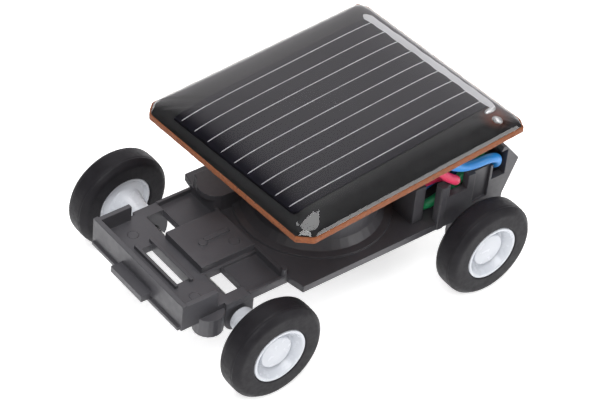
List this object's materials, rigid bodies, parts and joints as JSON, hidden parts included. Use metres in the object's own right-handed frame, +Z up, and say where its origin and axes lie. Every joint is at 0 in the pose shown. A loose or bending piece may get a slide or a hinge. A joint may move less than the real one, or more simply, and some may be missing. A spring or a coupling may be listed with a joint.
{
  "type": "miniature solar-powered car",
  "caption": "Very small four-wheeled toy car with a flat solar panel glued over a round motor housing, a geared rear axle and coloured wires into a rear gearbox.",
  "frame": {"origin": "on the ground, under the middle of the car's length and width", "axes": "+X is forward, towards the nose tab; +Y is the car's left; +Z is up; the tyres stand on z = 0"},
  "size_m": [0.0314, 0.022, 0.0157],
  "materials": {
    "grey_moulding": "satin grey moulded plastic",
    "tyre_rubber": "satin black rubber",
    "white_plastic": "glossy white moulded plastic",
    "gear_plastic": "natural white plastic",
    "axle_steel": "bright drawn steel",
    "motor_steel": "plated steel",
    "ferrite": "dull dark ferrite",
    "brass": "plain brass",
    "copper": "enamelled copper",
    "brown_board": "brown pressed-paper circuit board with a sawn edge",
    "solar_cell": "dark blue polished silicon",
    "silver_print": "printed silver",
    "clear_epoxy": "clear poured epoxy with a wet gloss",
    "white_glue": "white glue",
    "solder": "bright solder",
    "red_wire": "red insulation",
    "blue_wire": "blue insulation",
    "green_wire": "green insulation"
  },
  "bodies": {
    "chassis": {"chassis": "grey_moulding", "gear_cover": "grey_moulding", "terminal_block": "grey_moulding", "motor_can": "motor_steel", "ring_magnet": "ferrite", "motor_cap": "white_plastic", "motor_bush_lower": "brass", "motor_bush_upper": "brass", "brush_left": "copper", "brush_right": "copper", "glue_pad": "white_glue", "panel_board": "brown_board", "solar_cell": "solar_cell", "contact_grid": "silver_print", "cell_link": "solder", "epoxy_dome": "clear_epoxy", "wire_red": "red_wire", "wire_blue": "blue_wire", "wire_green": "green_wire", "solder_red": "solder", "solder_blue": "solder", "solder_green": "solder", "cluster_pin": "axle_steel", "idler_pin": "axle_steel"},
    "front_wheels": {"front_axle": "axle_steel", "hub_front_left": "white_plastic", "hub_front_right": "white_plastic", "tyre_front_left": "tyre_rubber", "tyre_front_right": "tyre_rubber"},
    "rear_wheels": {"rear_axle": "axle_steel", "hub_rear_left": "white_plastic", "hub_rear_right": "white_plastic", "tyre_rear_left": "tyre_rubber", "tyre_rear_right": "tyre_rubber", "crown_gear": "gear_plastic"},
    "cluster": {"cluster_gear": "gear_plastic"},
    "idler": {"idler_gear": "gear_plastic"},
    "rotor": {"motor_shaft": "axle_steel", "motor_pinion": "brass", "rotor_core": "motor_steel", "rotor_coil_1": "copper", "rotor_coil_2": "copper", "rotor_coil_3": "copper", "commutator": "copper"}
  },
  "joints": [
    {"name": "front_axle_spin", "type": "hinge", "parent": "chassis", "child": "front_wheels", "pos_m": [0.00963, 0, 0.00405], "axis": [0, 1, 0], "continuous": true},
    {"name": "rear_axle_spin", "type": "hinge", "parent": "chassis", "child": "rear_wheels", "pos_m": [-0.01082, 0, 0.00405], "axis": [0, 1, 0], "continuous": true},
    {"name": "cluster_spin", "type": "hinge", "parent": "chassis", "child": "cluster", "pos_m": [-0.01082, 0, 0.00715], "axis": [0, 0, 1], "continuous": true},
    {"name": "idler_spin", "type": "hinge", "parent": "chassis", "child": "idler", "pos_m": [-0.00533, -0.00028, 0.00715], "axis": [0, 0, 1], "continuous": true},
    {"name": "motor_spin", "type": "hinge", "parent": "chassis", "child": "rotor", "pos_m": [-0.00117, 0.0006, 0.00715], "axis": [0, 0, 1], "continuous": true}
  ],
  "couplings": [
    {"joint": "cluster_spin", "follows": "rear_axle_spin", "ratio": -2.5},
    {"joint": "idler_spin", "follows": "rear_axle_spin", "ratio": 1.7308},
    {"joint": "motor_spin", "follows": "rear_axle_spin", "ratio": -5.625}
  ]
}
